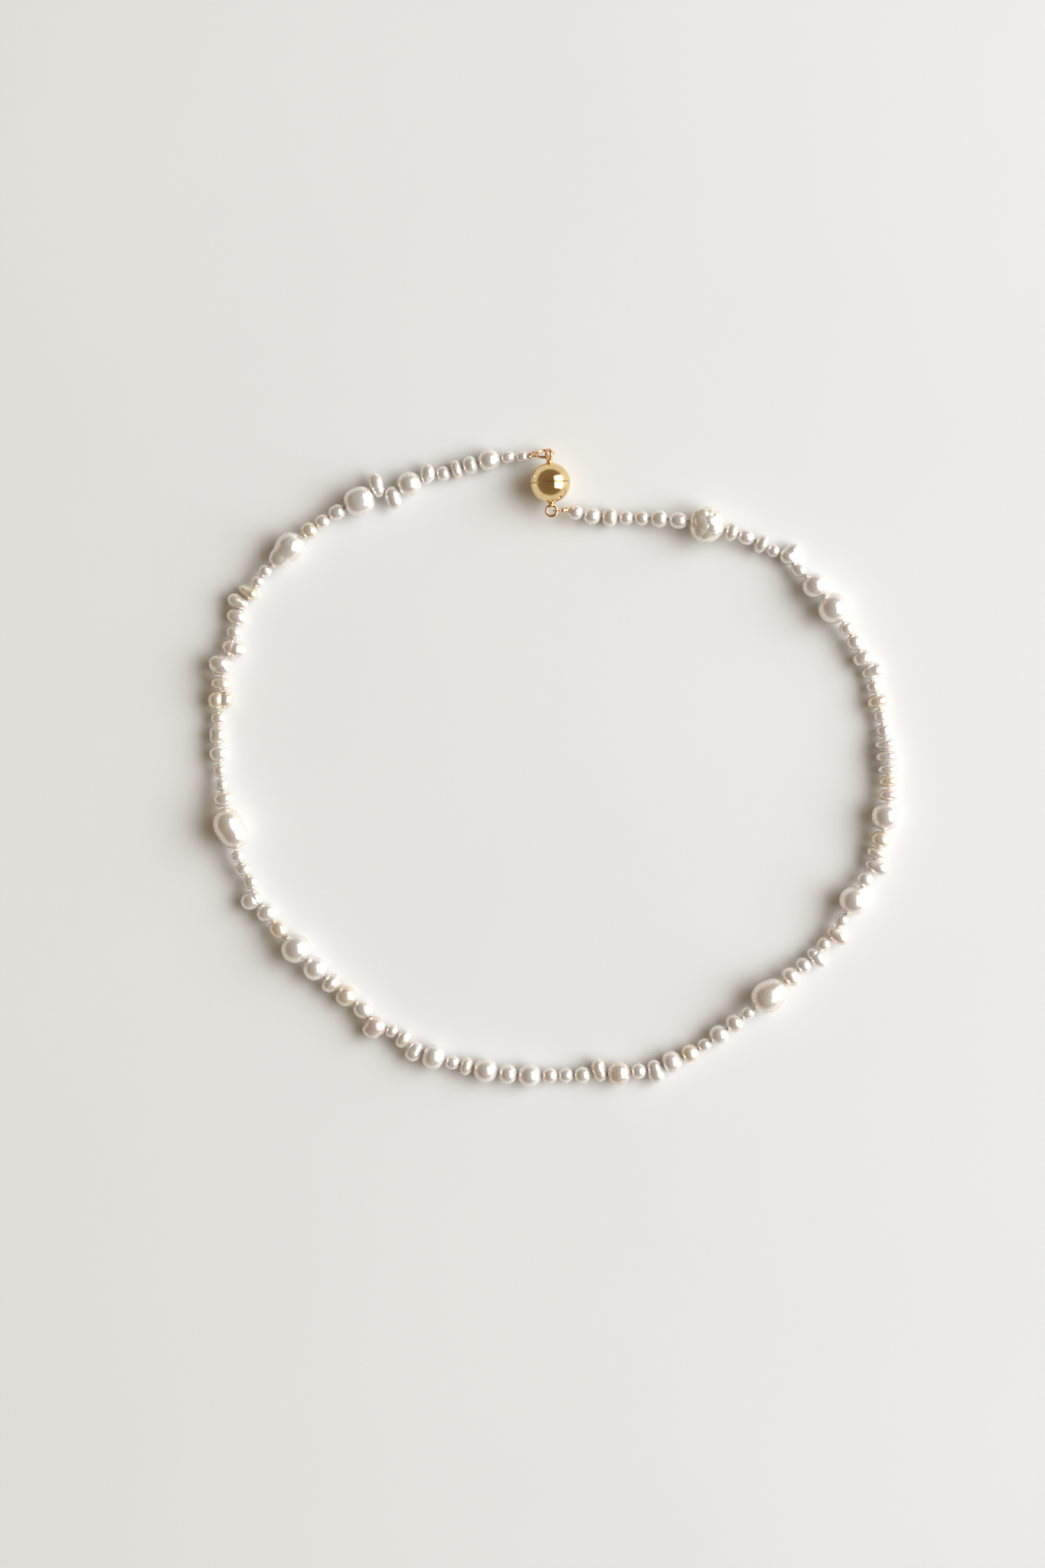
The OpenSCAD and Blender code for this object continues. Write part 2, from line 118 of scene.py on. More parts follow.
FORMS = {
    "round": form([BALL], lumps=0.006),
    "oval": form([BALL], power=2.08, lumps=0.02),
    "button": form([BALL, ((0.2, 0, 0), (0.7, 0.94, 0.94))], power=2.2, lumps=0.025),
    "disc": form([BALL], power=2.3, lumps=0.03, grooves=[(0, 0.15, 0.25, 0.03)]),
    "bean": form([BALL, ((-0.3, -0.2, 0), (0.6, 0.7, 0.7))], lumps=0.04),
    "egg": form([((0, 0.22, 0), (1, 0.78, 1)), ((0, -0.36, 0), (0.88, 0.64, 0.88))], lumps=0.025),
    "leaning": form([((0.15, -0.25, 0), (0.85, 0.75, 1)), ((-0.12, 0.32, 0), (0.82, 0.68, 0.85))],
                    lumps=0.03),
    "banded": form([BALL], power=2.1, lumps=0.02, grooves=[(1, -0.3, 0.13, 0.07)]),
    "grooved": form([BALL], power=2.1, lumps=0.02, grooves=[(1, 0.1, 0.13, 0.09), (1, -0.55, 0.1, 0.03)]),
    "lobed": form([((0.04, 0.4, 0), (0.78, 0.6, 0.9)), ((0, -0.3, 0), (1, 0.7, 1))],
                  join=7, lumps=0.03, grooves=[(1, -0.1, 0.14, 0.03)]),
    "twin": form([((0, -0.12, 0), (1, 0.88, 1)), ((0.06, 0.5, 0), (0.8, 0.5, 0.82))],
                 join=7, lumps=0.02, grooves=[(1, 0.35, 0.12, 0.03)]),
    "wide_twin": form([((-0.05, 0.36, 0), (0.95, 0.64, 1)), ((0.08, -0.4, 0), (0.86, 0.6, 0.88))],
                      join=7, lumps=0.03, grooves=[(1, -0.12, 0.12, 0.05)]),
    "sided": form([((0.08, 0.1, 0), (0.88, 0.9, 1)), ((-0.4, -0.3, 0.1), (0.6, 0.6, 0.7))],
                  lumps=0.03),
    "lumpy": form([BALL, ((0.45, 0.4, 0.2), (0.52, 0.55, 0.55)), ((-0.4, 0.35, 0.3), (0.55, 0.55, 0.55))],
                  lumps=0.035),
    "notched": form([BALL], lumps=0.035, crinkle=0.010, grooves=[(0, -0.25, 0.16, 0.06)]),
    "potato": form([((0.12, 0, 0), (0.88, 1, 1)), ((-0.45, 0.05, 0), (0.56, 0.78, 0.8))],
                   power=2.15, lumps=0.025),
    "ridged": form([BALL], power=2.25, lumps=0.04, crinkle=0.008,
                   grooves=[(0, -0.42, 0.07, 0.022), (0, 0.3, 0.07, 0.026)]),
    "pear": form([((0.22, 0.1, 0), (0.78, 0.9, 1)), ((-0.36, -0.14, 0), (0.64, 0.82, 0.9))],
                 join=7, lumps=0.02),
    "long_drop": form([((0.28, 0.05, 0), (0.72, 0.95, 1)), ((-0.42, -0.06, 0), (0.58, 0.72, 0.76))],
                      join=6, lumps=0.04, crinkle=0.014),
    "barrel": form([BALL], power=2.4, lumps=0.035),
    "coin": form([BALL, ((0.4, -0.1, 0.4), (0.55, 0.5, 0.5)), ((-0.35, 0.35, 0.4), (0.55, 0.5, 0.5)),
                  ((-0.1, -0.55, 0.3), (0.5, 0.4, 0.5))], power=2.15, lumps=0.06, crinkle=0.034),
    "crinkled": form([BALL, ((0.3, 0.4, 0.3), (0.5, 0.5, 0.5)), ((-0.3, -0.3, 0.4), (0.6, 0.6, 0.5))],
                     power=2.1, lumps=0.05, crinkle=0.030),
}

# Drilled holes, the thread in them, and the ball, in millimetres
BORE_R = 0.35
LIP = 0.05
THREAD_R = 0.2
BALL_R = 4.0

# Rings on a pearl and points round each, for a pearl whose largest half size is under the limit and
# for the others
SMALL_HALF = 2.5
SMALL_MESH, LARGE_MESH = (34, 56), (64, 96)

# A small pearl's skin is shorter than this along the thread, unless touching pearls share one skin
LONGEST_SMALL = 3.6


# ---------------------------------------------------------------- small helpers

def unit(v):
    """The direction of a vector, with length 1."""
    v = np.asarray(v, float)
    return v / np.linalg.norm(v)


def points_of(node):
    """A CAD node's corners, in millimetres."""
    mesh = frame["nodes"][node].data
    found = np.zeros(len(mesh.vertices) * 3)
    mesh.vertices.foreach_get("co", found)
    return found.reshape(-1, 3) / MM


def seeded(number):
    """A source of random numbers that is the same in every run."""
    return np.random.default_rng(7000 + number)


def frame_along(direction):
    """Axes of a piece on the strand: along it, level to its left, and up."""
    x = unit(direction)
    y = unit(np.cross([0, 0, 1], x))
    return np.stack([x, y, np.cross(x, y)])


def add_mesh(name, points, faces, material):
    """A smooth-shaded piece of one material, from points in millimetres."""
    mesh = bpy.data.meshes.new(name)
    mesh.from_pydata((np.asarray(points, float) * MM).tolist(), [], faces)
    mesh.update()
    mesh.polygons.foreach_set("use_smooth", [True] * len(mesh.polygons))
    piece = bpy.data.objects.new(name, mesh)
    bpy.context.scene.collection.objects.link(piece)
    mesh.materials.append(material)
    return piece


def skin(rings, ends="open"):
    """Quads between rings of points. Ends are closed by a fan, joined to each other, or open."""
    n = len(rings[0])
    count = len(rings)
    points = np.concatenate(rings)
    pairs = [(i, (i + 1) % count) for i in range(count if ends == "joined" else count - 1)]
    faces = [(a * n + k, b * n + k, b * n + (k + 1) % n, a * n + (k + 1) % n)
             for a, b in pairs for k in range(n)]
    if ends == "fan":
        first, last = len(points), len(points) + 1
        points = np.concatenate([points, [rings[0].mean(0)], [rings[-1].mean(0)]])
        faces += [(first, k, (k + 1) % n) for k in range(n)]
        base = (count - 1) * n
        faces += [(last, base + (k + 1) % n, base + k) for k in range(n)]
    return points, faces


def joined(*parts):
    """Several closed skins as one set of points and faces."""
    points, faces, start = [], [], 0
    for found, quads in parts:
        points.append(found)
        faces += [tuple(k + start for k in face) for face in quads]
        start += len(found)
    return np.concatenate(points), faces


def lathe(profile, origin, axis, steps=96):
    """Rings of a turned shape, one for each (radius, height) pair of its profile. No axis is upright."""
    axes = frame_along(axis)
    turn = np.linspace(0, 2 * math.pi, steps, endpoint=False)
    return [np.asarray(origin) + h * axes[0]
            + r * (np.outer(np.cos(turn), axes[1]) + np.outer(np.sin(turn), axes[2]))
            for r, h in profile]


def arc(centre, radius, start, end, steps=8):
    """Points of an arc in a profile, with angles in degrees."""
    turn = np.radians(np.linspace(start, end, steps))
    return [(centre[0] + radius * math.cos(a), centre[1] + radius * math.sin(a)) for a in turn]


def sweep(path, radius, sides=16, closed=False, shape=None, up=(0, 0, 1)):
    """A tube along a path. Shape gives each ring's radii as a share, from its number and angles."""
    path = np.asarray(path, float)
    if closed:
        ahead, behind = np.roll(path, -1, 0), np.roll(path, 1, 0)
    else:
        ahead, behind = np.vstack([path[1:], path[-1:]]), np.vstack([path[:1], path[:-1]])
    turn = np.linspace(0, 2 * math.pi, sides, endpoint=False)
    rings = []
    for i, (point, t) in enumerate(zip(path, ahead - behind)):
        t = unit(t)
        side = unit(np.cross(up, t))
        top = np.cross(side, t)
        share = shape(i, turn) if shape else np.ones(sides)
        rings.append(point + radius * (np.outer(share * np.cos(turn), side)
                                       + np.outer(share * np.sin(turn), top)))
    return skin(rings, "joined" if closed else "fan")


# ---------------------------------------------------------------- materials

def new_material(name):
    """An empty material, its node tree and its shader."""
    material = bpy.data.materials.new(name)
    material.use_nodes = True
    tree = material.node_tree
    return material, tree, tree.nodes["Principled BSDF"]


def noise(tree, scale, detail=3.0, roughness=0.5, distortion=0.0):
    """Noise in the piece's own space. Scale is in features per millimetre."""
    where = tree.nodes.new("ShaderNodeTexCoord")
    texture = tree.nodes.new("ShaderNodeTexNoise")
    texture.inputs["Scale"].default_value = scale / MM
    texture.inputs["Detail"].default_value = detail
    texture.inputs["Roughness"].default_value = roughness
    texture.inputs["Distortion"].default_value = distortion
    tree.links.new(where.outputs["Object"], texture.inputs["Vector"])
    return texture.outputs["Fac"]


def ranged(tree, value, low, high, start=0.3, end=0.7):
    """A value between start and end, spread from low to high."""
    node = tree.nodes.new("ShaderNodeMapRange")
    node.inputs["From Min"].default_value = start
    node.inputs["From Max"].default_value = end
    node.inputs["To Min"].default_value = low
    node.inputs["To Max"].default_value = high
    tree.links.new(value, node.inputs["Value"])
    return node.outputs["Result"]


def mixed(tree, factor, first, second, kind="MIX"):
    """Two colours mixed by a factor. Each is a fixed value or another node's output."""
    node = tree.nodes.new("ShaderNodeMix")
    node.data_type = "RGBA"
    node.blend_type = kind
    for socket, value in ((node.inputs["Factor"], factor), (node.inputs["A"], first),
                          (node.inputs["B"], second)):
        colour = [s for s in node.inputs if s.name == socket.name and s.enabled][0]
        if isinstance(value, (tuple, float)):
            colour.default_value = (*value, 1) if isinstance(value, tuple) else value
        else:
            tree.links.new(value, colour)
    return [s for s in node.outputs if s.enabled][0]


def bumped(tree, shader, heights):
    """Bumps, each as (height, depth in millimetres), one on the other."""
    last = None
    for height, depth in heights:
        node = tree.nodes.new("ShaderNodeBump")
        node.inputs["Strength"].default_value = 1.0
        node.inputs["Distance"].default_value = depth * MM
        tree.links.new(height, node.inputs["Height"])
        if last:
            tree.links.new(last, node.inputs["Normal"])
        last = node.outputs["Normal"]
    tree.links.new(last, shader.inputs["Normal"])


def nacre(name, shine=0.24, grain=0.0014):
    """Layered nacre: a warm body under a soft mirror, mottled, with a fine growth grain."""
    material, tree, shader = new_material(name)
    tone = tree.nodes.new("ShaderNodeAttribute")
    tone.attribute_name = "tone"
    cloud = ranged(tree, noise(tree, 0.55, 2.0), 0.0, 1.0)
    warm = mixed(tree, cloud, tone.outputs["Color"], (0.965, 0.945, 0.925), "MULTIPLY")
    fleck = ranged(tree, noise(tree, 2.6, 4.0, 0.6, 0.6), 0.0, 0.35)
    colour = mixed(tree, fleck, warm, (0.985, 0.968, 0.970), "MULTIPLY")
    tree.links.new(colour, shader.inputs["Base Color"])
    tree.links.new(ranged(tree, noise(tree, 1.3, 3.0), shine, shine + 0.07),
                   shader.inputs["Roughness"])
    shader.inputs["Metallic"].default_value = 0.58
    shader.inputs["IOR"].default_value = 1.66
    shader.inputs["Subsurface Weight"].default_value = 0.25
    shader.inputs["Subsurface Radius"].default_value = (0.9, 0.65, 0.5)
    shader.inputs["Subsurface Scale"].default_value = 0.6 * MM
    shader.inputs["Coat Weight"].default_value = 0.40
    shader.inputs["Coat Roughness"].default_value = 0.16
    shader.inputs["Coat IOR"].default_value = 1.5
    shader.inputs["Thin Film Thickness"].default_value = 330.0
    shader.inputs["Thin Film IOR"].default_value = 1.38
    bumped(tree, shader, [(noise(tree, 1.1, 2.0), 0.02), (noise(tree, 7.0, 3.0), grain)])
    return material


def polished_metal(name, colour, dark, rough=0.08, scratch=0.0006):
    """Plated metal with cloudy polish and fine handling scratches."""
    material, tree, shader = new_material(name)
    cloud = ranged(tree, noise(tree, 0.8, 3.0), 0.0, 1.0)
    tree.links.new(mixed(tree, cloud, colour, dark), shader.inputs["Base Color"])
    tree.links.new(ranged(tree, noise(tree, 2.2, 5.0, 0.65), rough, rough + 0.07),
                   shader.inputs["Roughness"])
    shader.inputs["Metallic"].default_value = 1.0
    bumped(tree, shader, [(noise(tree, 0.9, 2.0), 0.008),
                          (noise(tree, 14.0, 4.0, 0.7, 2.0), scratch)])
    return material


def silk(name):
    """Twisted silk: fine fibres, soft sheen."""
    material, tree, shader = new_material(name)
    fibre = ranged(tree, noise(tree, 18.0, 3.0), 0.0, 1.0)
    tree.links.new(mixed(tree, fibre, (0.90, 0.83, 0.70), (0.80, 0.69, 0.52)),
                   shader.inputs["Base Color"])
    tree.links.new(ranged(tree, noise(tree, 9.0), 0.55, 0.8), shader.inputs["Roughness"])
    shader.inputs["Sheen Weight"].default_value = 0.4
    bumped(tree, shader, [(fibre, 0.01)])
    return material


NACRE = {tone: nacre(tone + "_nacre") for tone in TONES}
GOLD = polished_metal("polished_gold", (0.90, 0.71, 0.40), (0.84, 0.63, 0.32))
ROSE_GOLD = polished_metal("fitting_gold", (0.92, 0.66, 0.42), (0.84, 0.53, 0.29), rough=0.10)
GIMP_GOLD = polished_metal("gimp_gold", (0.86, 0.58, 0.33), (0.72, 0.42, 0.20), rough=0.14)
NICKEL = polished_metal("magnet_nickel", (0.62, 0.61, 0.58), (0.50, 0.49, 0.47), rough=0.16)
SILK = silk("silk_thread")


# ---------------------------------------------------------------- stage, light and camera

def stage_floor():
    """A wide, plain, pale sheet under the necklace, at height 0."""
    half, cells = 1600.0, 16
    steps = np.linspace(-half, half, cells + 1)
    points = [(x, y, 0.0) for y in steps for x in steps]
    row = cells + 1
    faces = [(j * row + i, j * row + i + 1, (j + 1) * row + i + 1, (j + 1) * row + i)
             for j in range(cells) for i in range(cells)]
    material, tree, shader = new_material("pale_sheet")
    cloud = ranged(tree, noise(tree, 0.012, 2.0), 0.0, 1.0)
    tree.links.new(mixed(tree, cloud, (0.815, 0.820, 0.815), (0.800, 0.804, 0.800)),
                   shader.inputs["Base Color"])
    shader.inputs["Roughness"].default_value = 0.7
    bumped(tree, shader, [(noise(tree, 3.0, 3.0), 0.01)])
    return add_mesh("pale_sheet", points, faces, material)


def studio_world():
    """Soft room light: dim and warm overhead, pale towards the horizon."""
    world = bpy.data.worlds.new("studio")
    world.use_nodes = True
    tree = world.node_tree
    where = tree.nodes.new("ShaderNodeTexCoord")
    split = tree.nodes.new("ShaderNodeSeparateXYZ")
    ramp = tree.nodes.new("ShaderNodeValToRGB")
    stops = [(0.0, (0.86, 0.81, 0.74)), (0.10, (0.70, 0.62, 0.52)), (0.26, (0.27, 0.195, 0.125)),
             (1.0, (0.20, 0.138, 0.078))]
    while len(ramp.color_ramp.elements) < len(stops):
        ramp.color_ramp.elements.new(0.5)
    for element, (place, colour) in zip(ramp.color_ramp.elements, stops):
        element.position = place
        element.color = (*colour, 1)
    tree.links.new(where.outputs["Generated"], split.inputs["Vector"])
    tree.links.new(split.outputs["Z"], ramp.inputs["Fac"])
    tree.links.new(ramp.outputs["Color"], tree.nodes["Background"].inputs["Color"])
    tree.nodes["Background"].inputs["Strength"].default_value = 1.0
    bpy.context.scene.world = world


def softbox(name, toward, distance, wide, high, power, colour):
    """A large soft light that faces the frame's origin."""
    light = bpy.data.lights.new(name, "AREA")
    light.shape = "RECTANGLE"
    light.size, light.size_y = wide * MM, high * MM
    light.energy = power
    light.color = colour
    lamp = bpy.data.objects.new(name, light)
    bpy.context.scene.collection.objects.link(lamp)
    lamp.location = Vector(unit(toward)) * distance * MM
    lamp.rotation_euler = lamp.location.to_track_quat("Z", "Y").to_euler()


def overhead_camera():
    """Straight above, with the necklace a little right of and above the picture's middle."""
    lens, picture_height = 85.0, 311.3
    to_left, to_front = 6.2, 3.2
    low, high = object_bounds()
    camera = bpy.data.cameras.new("overhead")
    camera.sensor_fit = "VERTICAL"
    camera.sensor_height = 36.0
    camera.lens = lens
    distance = picture_height * lens / camera.sensor_height
    view = bpy.data.objects.new("overhead", camera)
    bpy.context.scene.collection.objects.link(view)
    middle = (low + high) / 2
    view.location = (middle.x - to_left * MM, middle.y - to_front * MM, low.z + distance * MM)
    camera.clip_start = 0.05
    bpy.context.scene.camera = view


overhead_camera()
studio_world()
DAYLIGHT = (0.91, 0.965, 1.0)
softbox("window", (1.0, 0.08, 0.74), 2400, 3200, 2500, 81, DAYLIGHT)
softbox("window_middle", (1.0, 0.08, 0.76), 2380, 1800, 1300, 25, DAYLIGHT)
stage_floor()
bpy.context.scene.view_settings.view_transform = "Standard"


# ---------------------------------------------------------------- where each pearl is

def thread_stations():
    """Middles of the thread's rings in order: its two ends, and each point between two pearls."""
    corners = np.unique(np.round(points_of("stringing_thread"), 4), axis=0)
    centres = []
    while len(corners):
        near = np.linalg.norm(corners - corners[0], axis=1) < 2.2 * THREAD_R
        centres.append((corners[near].min(0) + corners[near].max(0)) / 2)
        corners = corners[~near]
    low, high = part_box("right_wire_loop")
    here = np.array((low + high) / 2) / MM
    ordered = []
    while centres:
        nearest = min(range(len(centres)), key=lambda k: np.linalg.norm(centres[k] - here))
        here = centres.pop(nearest)
        ordered.append(here)
    return np.array(ordered)


RINGS = thread_stations()
STATIONS = RINGS[1:-1]
PEARLS = [(body, *words.split()) for body, row in STRAND.items() for words in row]
FITTINGS = {"stringing_thread", "left_crimp", "right_crimp", "left_wire_loop", "right_wire_loop"}
BODIES = frame["record"]["behaviour"]["bodies"]


def solids_of(node):
    """The corners of each separate skin in a CAD node."""
    corners, same = np.unique(np.round(points_of(node), 3), axis=0, return_inverse=True)
    mesh = frame["nodes"][node].data
    edges = np.zeros(len(mesh.edges) * 2, int)
    mesh.edges.foreach_get("vertices", edges)
    ends = same.ravel()[edges.reshape(-1, 2)].T
    label, before = np.arange(len(corners)), None
    while not np.array_equal(label, before):
        before = label.copy()
        lowest = label[ends].min(0)
        for end in ends:
            np.minimum.at(label, end, lowest)
    return [corners[label == k] for k in np.unique(label)]


def pearl_places():
    """For each pearl its middle on the thread, its axes, its lowest and highest corner along them,
    and the CAD node that holds it. A skin that is too long for one pearl is shared out by corners."""
    numbers, places = {}, []
    for i, pearl in enumerate(PEARLS):
        a, b = STATIONS[i], STATIONS[i + 1]
        numbers.setdefault(pearl[0], []).append(i)
        places.append(dict(middle=(a + b) / 2, axes=frame_along(b - a),
                           half=np.linalg.norm(b - a) / 2, found=[], node=None))
    for body, row in numbers.items():
        for node in [node for node in BODIES[body] if node not in FITTINGS]:
            for corners in solids_of(node):
                local = [(corners - places[i]["middle"]) @ places[i]["axes"].T for i in row]
                half = np.array([places[i]["half"] for i in row])
                centre = [(q.min(0) + q.max(0))[0] / 2 for q in local]
                nearest = int(np.argmin(np.abs(centre) / half))
                owner = np.full(len(corners), nearest)
                if np.ptp(local[nearest][:, 0]) > max(LONGEST_SMALL, 3 * half[nearest]):
                    owner = np.argmin([np.abs(q[:, 0]) / h for q, h in zip(local, half)], 0)
                for k in np.unique(owner):
                    places[row[k]]["found"].append(local[k][owner == k])
                    places[row[k]]["node"] = node
    for place in places:
        found = np.concatenate(place["found"])
        place["low"], place["high"] = found.min(0), found.max(0)
    return places


# ---------------------------------------------------------------- pearls

def waves(points, count, pitch, source):
    """Smooth random swelling, from -1 to 1, made of a few plane waves."""
    directions = source.normal(size=(count, 3))
    directions /= np.linalg.norm(directions, axis=1)[:, None]
    phases = source.uniform(0, 2 * math.pi, count)
    speeds = pitch * source.uniform(0.7, 1.3, count)
    return np.sin(points @ (directions * speeds[:, None]).T + phases).sum(1) / count


def pebbles(points, count, source):
    """Rounded bumps with creases between them, from -1 to 1, as on crinkled nacre."""
    centres = source.normal(size=(count, 3))
    centres /= np.linalg.norm(centres, axis=1)[:, None]
    ways = points + 0.12 * np.stack([waves(points, 4, 4.0, source) for _ in range(3)], 1)
    ways /= np.linalg.norm(ways, axis=1)[:, None]
    angle = np.arccos(np.clip((ways @ centres.T).max(1), -1, 1))
    return 1 - 2 * np.minimum(1, (angle * math.sqrt(count) / 3) ** 2)


def fullness(points, shape):
    """Below 0 inside the pearl: its lobes' own measures, smoothly joined."""
    total = 0
    for middle, half in shape["lobes"]:
        scaled = np.abs((points - np.array(middle)) / np.array(half))
        size = (scaled ** shape["power"]).sum(1) ** (1 / shape["power"])
        total = total + np.exp(-shape["join"] * (size - 1))
    return -np.log(total + 1e-300) / shape["join"]


def pearl_reach(directions, start, half, shape, seed):
    """How far the pearl's skin is from a point on the thread, in millimetres, in each direction."""
    near, far = np.zeros(len(directions)), np.full(len(directions), 4 * max(half))
    for _ in range(26):
        middle = (near + far) / 2
        inside = fullness((start + middle[:, None] * directions) / half, shape) < 0
        near, far = np.where(inside, middle, near), np.where(inside, far, middle)
    skin_at = (start + near[:, None] * directions) / half
    source = seeded(seed)
    swell = shape["lumps"] * waves(skin_at, 6, 2.2, source)
    if shape["crinkle"]:
        swell = swell + shape["crinkle"] * pebbles(skin_at, 90, source)
    for axis, place, width, depth in shape["grooves"]:
        swell = swell - depth * np.exp(-((skin_at[:, axis] - place) / width) ** 2)
    return near * (1 + swell)


def pearl_rings(place, shape, seed):
    """The pearl's skin as rings round the thread, and then the wall of its drilled hole."""
    low, high = place["low"], place["high"]
    half, start = (high - low) / 2, -(high + low) / 2
    along, around = SMALL_MESH if max(half) < SMALL_HALF else LARGE_MESH
    turn = np.linspace(0, 2 * math.pi, around, endpoint=False)

    def directions(tilt):
        """Ways out from the thread, at a tilt from it, all the way round."""
        return np.stack([np.cos(tilt), np.sin(tilt) * np.cos(turn), np.sin(tilt) * np.sin(turn)], 1)

    def edge(side):
        """Tilt from the thread at which the skin meets the hole's lip, all the way round."""
        tilt = np.full(around, 0.3)
        for _ in range(5):
            from_front = tilt if side > 0 else math.pi - tilt
            far = pearl_reach(directions(from_front), start, half, shape, seed)
            tilt = np.arcsin(np.minimum(0.9, (BORE_R + LIP) / far))
        return tilt

    first, last = edge(1), math.pi - edge(-1)
    rings = []
    for share in np.linspace(0, 1, along):
        tilt = first + (last - first) * share
        ways = directions(tilt)
        rings.append(ways * pearl_reach(ways, start, half, shape, seed)[:, None])
    skin_points = np.concatenate(rings)
    found_low, found_high = skin_points.min(0), skin_points.max(0)
    grow = (high - low) / (found_high - found_low)
    rings = [low + (ring - found_low) * grow for ring in rings]
    for ring in (rings[0], rings[-1]):
        ring[:, 1:] = (BORE_R + LIP) * np.stack([np.cos(turn), np.sin(turn)], 1)
    round_hole = np.stack([np.cos(turn), np.sin(turn)], 1) * BORE_R
    for ring in (rings[-1], rings[0]):
        inward = -LIP * np.sign(ring[:, 0].mean())
        rings.append(np.column_stack([ring[:, 0] + inward, round_hole]))
    return rings


def tone_of(tone, points, seed):
    """The pearl's own tone, a little darker and warmer beside its drilled hole."""
    source = seeded(seed + 500)
    base = np.array(TONES[tone]) * source.uniform(0.965, 1.02) + source.uniform(-0.012, 0.012, 3)
    depth, reach = 0.22, 0.14
    from_hole = np.linalg.norm(points[:, 1:], axis=1) - BORE_R
    stain = depth * np.exp(-np.maximum(0, from_hole) / reach)[:, None]
    shade = np.array([0.80, 0.68, 0.50])
    return np.clip(base * (1 - stain) + shade * base * stain, 0, 1)


def make_pearl(number, body, kind, tone, place):
    """One drilled pearl, with its own tone painted on its points."""
    local, faces = skin(pearl_rings(place, FORMS[kind], number), "joined")
    points = place["middle"] + local @ place["axes"]
    piece = add_mesh(f"pearl_{number:03d}_{kind}", points, faces, NACRE[tone])
    colours = np.column_stack([tone_of(tone, local, number), np.ones(len(local))])
    layer = piece.data.color_attributes.new("tone", "FLOAT_COLOR", "POINT")
    layer.data.foreach_set("color", colours.ravel())
    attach(piece, body)
    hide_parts(place["node"])


for number, ((body, kind, tone), place) in enumerate(zip(PEARLS, pearl_places()), 1):
    make_pearl(number, body, kind, tone, place)


# ---------------------------------------------------------------- thread

def smooth_path(points, step):
    """Even points along a line through the given points, with its corners eased, how far along each
    one is, and how far along the given points are."""
    lengths = np.concatenate([[0], np.cumsum(np.linalg.norm(np.diff(points, axis=0), axis=1))])
    at = np.linspace(0, lengths[-1], int(lengths[-1] / step) + 2)
    path = np.stack([np.interp(at, lengths, points[:, k]) for k in range(3)], 1)
    for _ in range(4):
        path[1:-1] = (path[:-2] + 2 * path[1:-1] + path[2:]) / 4
    return path, at, lengths


def make_thread():
    """Three-ply thread, one piece for each length of the strand. Neighbours end in rounded tips that
    share their middle with the joint between them, so the line stays whole as it bends."""
    step, pitch, plies = 0.11, 1.3, 3
    path, at, lengths = smooth_path(RINGS, step)
    counts = np.cumsum([len(row) for row in STRAND.values()])
    ends = [0.0, *(lengths[count + 1] for count in counts[:-1]), lengths[-1]]
    tip = THREAD_R * np.array([0.3, 0.6, 0.85, 0.97])
    for k, body in enumerate(STRAND):
        begin, end = ends[k], ends[k + 1]
        before = begin - tip[::-1] if k > 0 else []
        after = end + tip if k < len(STRAND) - 1 else []
        where = np.concatenate([before, np.linspace(begin, end, int((end - begin) / step) + 2), after])
        past = np.clip(np.maximum(begin - where, where - end) / THREAD_R, 0, 1)
        full = np.sqrt(1 - past ** 2)

        def plied(i, turn):
            """The thread's section at a ring: its plies, made smaller in a rounded tip."""
            twist = 2 * math.pi * where[i] / pitch
            return full[i] * (0.80 + 0.20 * np.abs(np.cos(plies / 2 * (turn - twist))))

        line = np.stack([np.interp(where, at, path[:, axis]) for axis in range(3)], 1)
        points, faces = sweep(line, THREAD_R, 18, shape=plied)
        piece = add_mesh(f"silk_thread_{k + 1:02d}", points, faces, SILK)
        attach(piece, body)
        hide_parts("stringing_thread")


make_thread()


# ---------------------------------------------------------------- clasp and fittings

def ring_of(node):
    """Middle, flat direction, radius and wire radius of a ring, read from its CAD node."""
    corners = points_of(node)
    _, _, ways = np.linalg.svd(corners - corners.mean(0), full_matrices=False)
    flat, middle = ways[2], np.zeros(3)
    for way in ways:
        along = corners @ way
        middle = middle + way * (along.min() + along.max()) / 2
    away = corners - middle
    away = away - np.outer(away @ flat, flat)
    sizes = np.linalg.norm(away, axis=1)
    return middle, flat, (sizes.max() + sizes.min()) / 2, (sizes.max() - sizes.min()) / 2


def circle_path(middle, flat, radius, steps, start=0.0, end=360.0, zero=None):
    """Points round a circle or along part of it, in degrees from the direction zero."""
    side = unit(np.cross(flat, [0, 0, 1]) if zero is None else zero)
    other = np.cross(flat, side)
    turn = np.radians(np.linspace(start, end, steps, endpoint=end - start < 360))
    return middle + radius * (np.outer(np.cos(turn), side) + np.outer(np.sin(turn), other))


SPIN = next(joint for joint in frame["joints"] if joint["name"] == "clasp_upper_spin")
BALL_AT = np.array(SPIN["pos_m"]) / MM
BALL_AXIS = unit(SPIN["axis"])


def weld(piece):
    """Merges the doubled points where a turned profile meets its axis."""
    mesh = bmesh.new()
    mesh.from_mesh(piece.data)
    bmesh.ops.remove_doubles(mesh, verts=mesh.verts, dist=1e-7)
    bmesh.ops.recalc_face_normals(mesh, faces=mesh.faces)
    mesh.to_mesh(piece.data)
    mesh.free()


